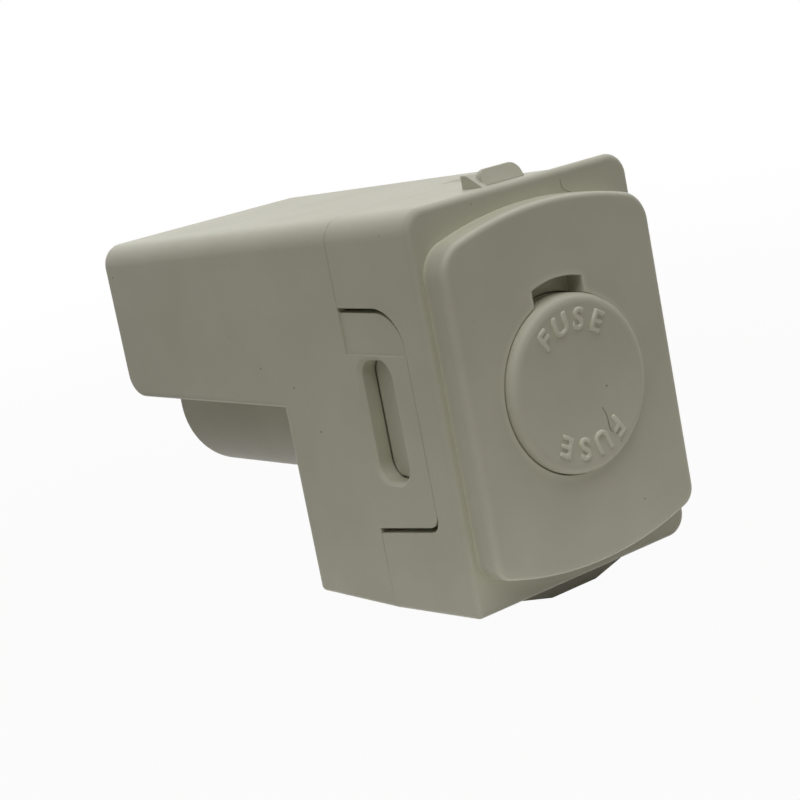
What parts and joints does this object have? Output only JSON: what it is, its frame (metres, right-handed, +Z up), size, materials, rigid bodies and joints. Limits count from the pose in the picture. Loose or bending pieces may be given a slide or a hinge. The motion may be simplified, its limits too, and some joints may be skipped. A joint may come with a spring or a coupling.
{
  "type": "fused spur unit",
  "caption": "Ivory snap-in grid module with an L-shaped two-part housing, a crowned face plate and a round fuse carrier that pulls out of its face.",
  "frame": {"origin": "on the carrier's axis, in the plane of the shoulder that seats against a grid frame", "axes": "+X to the right seen from the face, +Y back into the wall along the carrier's axis, +Z up"},
  "size_m": [0.0258, 0.0539, 0.0385],
  "materials": {
    "housing_plastic": "warm ivory thermosetting moulding, satin",
    "frame_plastic": "warm ivory moulding, satin",
    "plate_plastic": "warm ivory moulding, light sheen",
    "carrier_plastic": "warm ivory moulding, light sheen",
    "retainer_plastic": "unseen inner moulding, matt",
    "fuse_ceramic": "fired white ceramic, opaque",
    "cap_metal": "plated pressed cap",
    "contact_strip": "stamped spring strip",
    "terminal_brass": "sawn and drilled bar",
    "screw_steel": "zinc plated"
  },
  "bodies": {
    "housing": {"rear_housing": "housing_plastic", "front_frame": "frame_plastic", "face_plate": "plate_plastic", "contact_retainer": "retainer_plastic", "front_contact": "contact_strip", "rear_contact": "contact_strip", "supply_terminal": "terminal_brass", "load_terminal": "terminal_brass"},
    "carrier": {"fuse_carrier": "carrier_plastic", "fuse_body": "fuse_ceramic", "fuse_cap_front": "cap_metal", "fuse_cap_rear": "cap_metal"},
    "supply_clamp": {"supply_screw": "screw_steel"},
    "load_clamp": {"load_screw": "screw_steel"}
  },
  "joints": [
    {"name": "carrier_slide", "type": "slide", "parent": "housing", "child": "carrier", "axis": [0, -1, 0], "range_m": [0, 0.048]},
    {"name": "supply_screw_slide", "type": "slide", "parent": "housing", "child": "supply_clamp", "axis": [0, -1, 0], "range_m": [0, 0.002]},
    {"name": "load_screw_slide", "type": "slide", "parent": "housing", "child": "load_clamp", "axis": [0, -1, 0], "range_m": [0, 0.002]}
  ]
}
